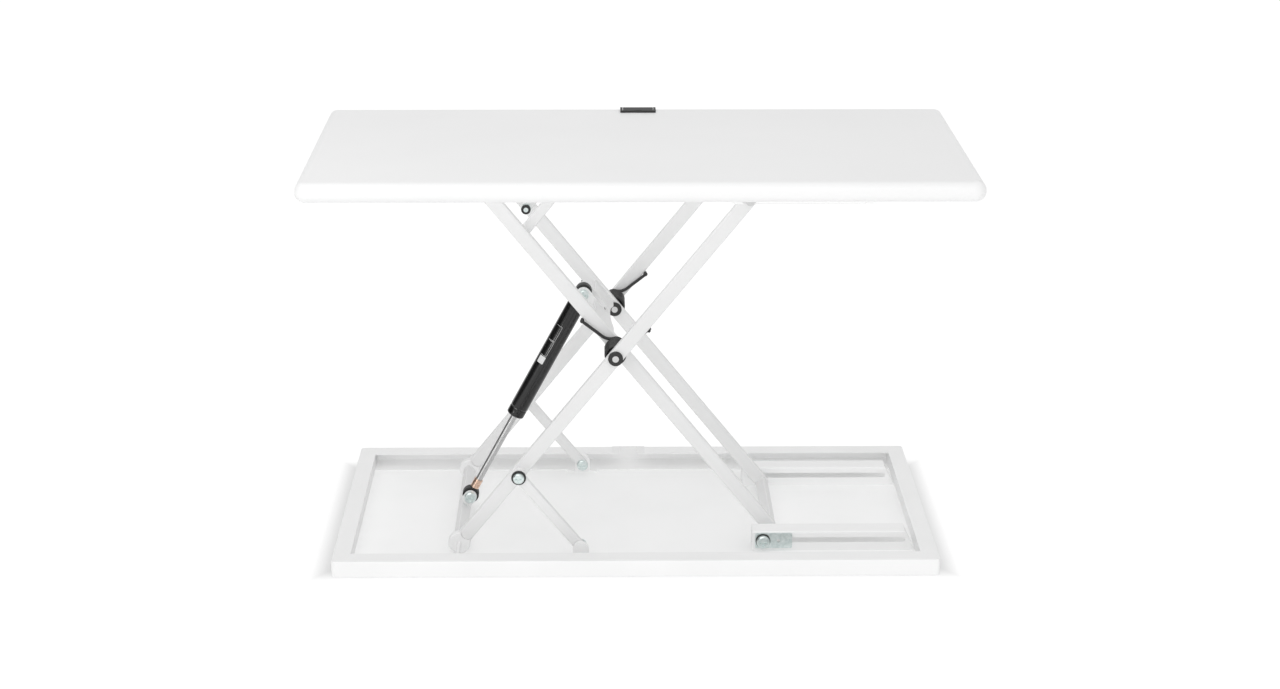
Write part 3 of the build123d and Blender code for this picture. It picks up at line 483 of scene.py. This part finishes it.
def mesh_piece(name, shape, sharp_degrees=35.0):
    """Turns a bmesh into a smooth-shaded object with its sharp edges marked."""
    limit = math.radians(sharp_degrees)
    for face in shape.faces:
        face.smooth = True
    for edge in shape.edges:
        edge.smooth = len(edge.link_faces) == 2 and edge.calc_face_angle() < limit
    mesh = bpy.data.meshes.new(name)
    shape.to_mesh(mesh)
    shape.free()
    piece = bpy.data.objects.new(name, mesh)
    bpy.context.scene.collection.objects.link(piece)
    return piece


def finish_piece(piece, body, slot, node=None):
    piece.data.materials.append(MATERIALS[slot])
    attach(piece, body)
    if node:
        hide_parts(node)


COIL_MIDDLE = 0.0115       # radius of the wire's centre line
WIRE_RADIUS = 0.002
LEG_ALONG, LEG_ACROSS = 0.051, 0.0106
LEG_CAP_RADIUS = 0.0029
LEG_LEAD = math.radians(42)    # from a leg's direction to where its coil begins
OUTER_LEG_Y = 0.1178
INNER_LEG_Y = 0.0850
COIL_END_Y = 0.0893        # the coil's last turn, just clear of the inner leg's turn
OUTER_ARM_Y = 0.126        # the middle of each arm's tube
INNER_ARM_Y = 0.077
COIL_TURNS = 7
END_TURN = 0.75            # of a turn, flat, so that it stays clear of the coil as the frames fold


def leg_points(direction, across_sign, y_leg, y_arm):
    """From inside the arm's underside, round the bend and down the leg towards the coil."""
    across = across_sign * LEG_ACROSS
    bend = from_crossing(direction, LEG_ALONG, across, y_leg)
    points = [Vector((bend.x, y_arm, bend.z))]
    inner = from_crossing(direction, LEG_ALONG - 0.003, across * 0.97, y_leg)
    start = Vector((bend.x, y_leg + (y_arm - y_leg) * 0.35, bend.z))
    points += curve_between(start, bend, inner, 6)
    points.append(from_crossing(direction, 0.020, across * 0.36, y_leg))
    return points


def curve_between(start, corner, end, steps):
    """A quadratic curve from start to end, drawn towards a corner."""
    points = []
    for step in range(steps + 1):
        t = step / steps
        points.append(start * (1 - t) ** 2 + corner * 2 * t * (1 - t) + end * t ** 2)
    return points


def coil_points(direction, turn_sign, y_start, y_end, turns):
    """A helix about the crossing that begins a little past a leg's direction."""
    steps = int(turns * 40)
    points = []
    for step in range(steps + 1):
        share = step / steps
        angle = direction + turn_sign * (LEG_LEAD + share * turns * 2 * math.pi)
        y = y_start + (y_end - y_start) * share
        points.append(Vector((CROSSING.x + COIL_MIDDLE * math.cos(angle), y,
                              CROSSING.z + COIL_MIDDLE * math.sin(angle))))
    return points


def spring_path(direction, across_sign, y_leg, y_arm, y_end, turns):
    leg = leg_points(direction, across_sign, y_leg, y_arm)
    coil = coil_points(direction, -across_sign, y_leg, y_end, turns)
    corner = from_crossing(direction, COIL_MIDDLE * 1.02, across_sign * 0.0012, y_leg)
    return leg + curve_between(leg[-1], corner, coil[0], 8)[1:] + coil[1:]


def leg_cap(name, place):
    """A moulded tip on a spring leg's bend."""
    profile = []
    steps = 10
    for step in range(steps + 1):
        angle = math.pi * step / steps
        radius = LEG_CAP_RADIUS * math.sin(angle) if 0 < step < steps else 0
        profile.append((-LEG_CAP_RADIUS * math.cos(angle), radius))
    return lathed(name, place, (0, 1, 0), profile, 24)


def spring_cap(side, frame_body, direction, across, y_leg):
    """The tip on one leg; it rides the frame whose arm the leg enters."""
    place = from_crossing(direction, LEG_ALONG, across, side * y_leg)
    cap = leg_cap(f"spring_cap_{frame_body}_{SIDE_NAMES[side]}", place)
    finish_piece(cap, f"{frame_body}_frame", "black_plastic")


def make_springs():
    """True coils with bent, capped legs in place of the CAD's plain bodies of revolution."""
    end_turns = []
    for side in (REAR, FRONT):
        name = SIDE_NAMES[side]
        y_leg, y_arm = side * OUTER_LEG_Y, side * OUTER_ARM_Y
        path = spring_path(RISING, -1, y_leg, y_arm, side * COIL_END_Y, COIL_TURNS)
        coil = wires(f"spring_coil_{name}", [path], WIRE_RADIUS)
        finish_piece(coil, "outer_frame", "spring_black", f"torsion_spring_{name}")
        spring_cap(side, "outer", RISING, -LEG_ACROSS, OUTER_LEG_Y)
        y_leg, y_arm = side * INNER_LEG_Y, side * INNER_ARM_Y
        end_turns.append(spring_path(FALLING, 1, y_leg, y_arm, y_leg, END_TURN))
        spring_cap(side, "inner", FALLING, LEG_ACROSS, INNER_LEG_Y)
    turns = wires("spring_end_turns", end_turns, WIRE_RADIUS)
    finish_piece(turns, "inner_frame", "spring_black", "torsion_spring_end_turns")


GAS_TUBE_SPAN = (0.122, 0.294)
GAS_TUBE_RADIUS = 0.0113
GAS_TUBE_ROUNDS = (0.0022, 0.0026)    # of its open and its closed end
GAS_GROOVE_AT = 0.0115     # from the tube's open end
# (offset, depth) points across the groove
GAS_GROOVE = ((-0.0016, 0), (-0.0011, 0.0001), (-0.0006, 0.0004), (0, 0.0006),
              (0.0006, 0.0004), (0.0011, 0.0001), (0.0016, 0))
ROD_BORE = 0.00435


def make_gas_tube():
    """The pressure tube with its rolled-in ends and the crimp that holds the rod guide."""
    start, end = GAS_TUBE_SPAN
    r = GAS_TUBE_RADIUS
    groove = start + GAS_GROOVE_AT
    profile = [(start + 0.004, ROD_BORE), (start + 0.0002, ROD_BORE), (start, ROD_BORE + 0.0003)]
    profile += rolled_edge(start, 1, r, GAS_TUBE_ROUNDS[0])
    for offset, depth in GAS_GROOVE:
        profile.append((groove + offset, r - depth))
    profile += rolled_edge(end, -1, r, GAS_TUBE_ROUNDS[1])[::-1]
    profile.append((end, 0))
    place = joint_place("gas_spring_swing")
    tube = lathed("gas_tube_rolled", place, JOINTS["gas_spring_stroke"]["axis"], profile, 64)
    finish_piece(tube, "gas_cylinder", "gas_black", "gas_tube")


ROD_SPAN = (0.0135, 0.1500)
ROD_RADIUS = 0.0043
PISTON_LENGTH = 0.008
PISTON_RADIUS = 0.0095


def make_gas_rod():
    """The ground rod with its piston, as one smooth turned shape."""
    start, end = ROD_SPAN
    neck = end - PISTON_LENGTH
    profile = [(start, 0), (start, ROD_RADIUS), (neck, ROD_RADIUS),
               (neck, PISTON_RADIUS), (end, PISTON_RADIUS), (end, 0)]
    place = joint_place("gas_spring_swing")
    rod = lathed("gas_rod_ground", place, JOINTS["gas_spring_stroke"]["axis"], profile, 64)
    finish_piece(rod, "gas_rod", "chrome", "gas_rod")


LABEL_BOXES = ((0.2122, 0.2335), (0.2345, 0.2560))   # along the tube
LABEL_FLANK = (math.radians(12), math.radians(60))   # from the rear, up the tube's side
LABEL_STEPS = 9            # points along each side of a box
PRINT_RADIUS = 0.00018


def make_label_print():
    """The empty printed boxes above the label, as hair-thin raised lines."""
    along = Vector(JOINTS["gas_spring_stroke"]["axis"]).normalized()
    up = Vector((-along.z, 0, along.x))
    origin = joint_place("gas_spring_swing")
    paths = []
    low, high = LABEL_FLANK
    for start, end in LABEL_BOXES:
        corners = [(start, high), (start, low), (end, low), (end, high)]
        path = []
        for (a_from, t_from), (a_to, t_to) in zip(corners, corners[1:]):
            for step in range(LABEL_STEPS):
                share = step / LABEL_STEPS
                distance = a_from + (a_to - a_from) * share
                turn = t_from + (t_to - t_from) * share
                flank = up * math.sin(turn) - Vector((0, 1, 0)) * math.cos(turn)
                path.append(origin + along * distance + flank * GAS_TUBE_RADIUS)
        paths.append(path)
    lines = wires("gas_label_print", paths, PRINT_RADIUS)
    finish_piece(lines, "gas_cylinder", "label")


def rolled_edge(end, inwards, radius, round_radius):
    """Profile points round a tube's end, from its face to its side."""
    points = []
    steps = 6
    for step in range(steps + 1):
        angle = math.pi / 2 * step / steps
        along = end + inwards * round_radius * (1 - math.cos(angle))
        points.append((along, radius - round_radius * (1 - math.sin(angle))))
    return points


make_camera()
make_studio()
dress_nodes()
make_springs()
make_gas_tube()
make_gas_rod()
make_label_print()
